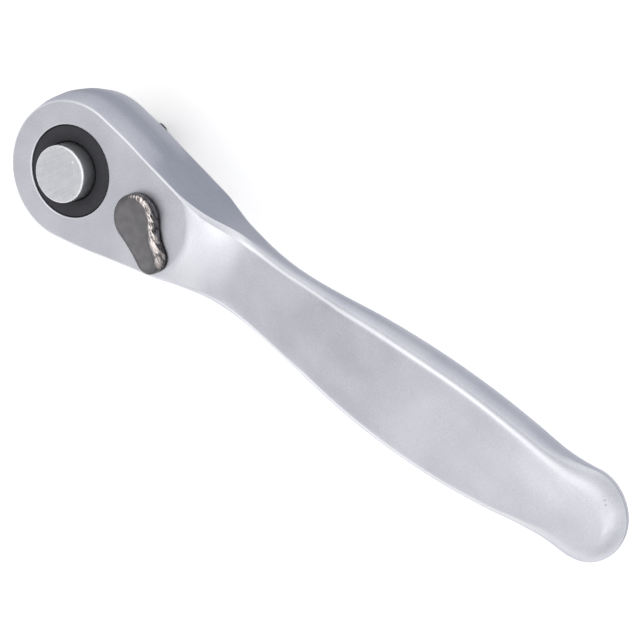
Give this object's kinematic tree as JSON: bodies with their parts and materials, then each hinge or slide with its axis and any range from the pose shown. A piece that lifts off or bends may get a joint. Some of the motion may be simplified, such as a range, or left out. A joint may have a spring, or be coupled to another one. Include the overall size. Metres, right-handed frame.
{
  "type": "ratchet wrench",
  "caption": "Small reversible ratchet wrench with a pear-shaped head, square drive, push-button socket release, thumb lever reverser and a wide flat handle with a bulb end.",
  "frame": {"origin": "on the drive axis, at the shoulder of the drive square, where a socket seats", "axes": "+Z along the drive axis towards the reversing lever and the push button, +X along the handle towards the bulb end"},
  "size_m": [0.1267, 0.0258, 0.0288],
  "materials": {
    "forged_chrome": "satin",
    "plate_chrome": "satin",
    "screw_black": "black oxide",
    "washer_steel": "plain",
    "gear_black": "black oxide",
    "seal_rubber": "matte",
    "button_steel": "turned",
    "pin_steel": "ground",
    "spring_steel": "drawn",
    "ball_steel": "polished",
    "pawl_steel": "hardened",
    "lever_nickel": "black nickel",
    "clip_steel": "spring temper"
  },
  "bodies": {
    "handle": {"handle_body": "forged_chrome", "cover_plate": "plate_chrome", "cover_screws": "screw_black", "thrust_washer": "washer_steel"},
    "drive": {"drive_gear": "gear_black", "gear_seal_ring": "seal_rubber", "button_spring": "spring_steel"},
    "button": {"release_button": "button_steel", "release_pin": "pin_steel"},
    "ball": {"detent_ball": "ball_steel"},
    "lever": {"reversing_lever": "lever_nickel", "lever_seal_ring": "seal_rubber", "lever_circlip": "clip_steel", "pusher_spring": "spring_steel"},
    "pusher": {"pawl_pusher": "pin_steel"},
    "pawl": {"pawl": "pawl_steel"}
  },
  "joints": [
    {"name": "drive_spin", "type": "hinge", "parent": "handle", "child": "drive", "pos_m": [0, 0, 0], "axis": [0, 0, 1], "continuous": true},
    {"name": "button_press", "type": "slide", "parent": "drive", "child": "button", "axis": [0, 0, -1], "range_m": [0, 0.002], "stiffness_N_per_m": 900, "springref_m": -0.003, "deforming": ["button_spring"]},
    {"name": "ball_retract", "type": "slide", "parent": "drive", "child": "ball", "axis": [-0.809, 0.5878, 0], "range_m": [0, 0.0005]},
    {"name": "lever_flip", "type": "hinge", "parent": "handle", "child": "lever", "pos_m": [0.0155, 0, 0.0148], "axis": [0, 0, 1], "range_deg": [0, 78]},
    {"name": "pawl_rock", "type": "hinge", "parent": "handle", "child": "pawl", "pos_m": [0.0104, 0, 0.0074], "axis": [0, 0, 1], "range_deg": [-10, 0]},
    {"name": "pusher_slide", "type": "slide", "parent": "lever", "child": "pusher", "axis": [0.7771, -0.6293, 0], "range_m": [0, 0.0006], "stiffness_N_per_m": 300, "springref_m": -0.001, "deforming": ["pusher_spring"]}
  ],
  "couplings": [
    {"joint": "ball_retract", "follows": "button_press", "ratio": 0.25},
    {"joint": "pawl_rock", "follows": "lever_flip", "ratio": -0.12821}
  ]
}
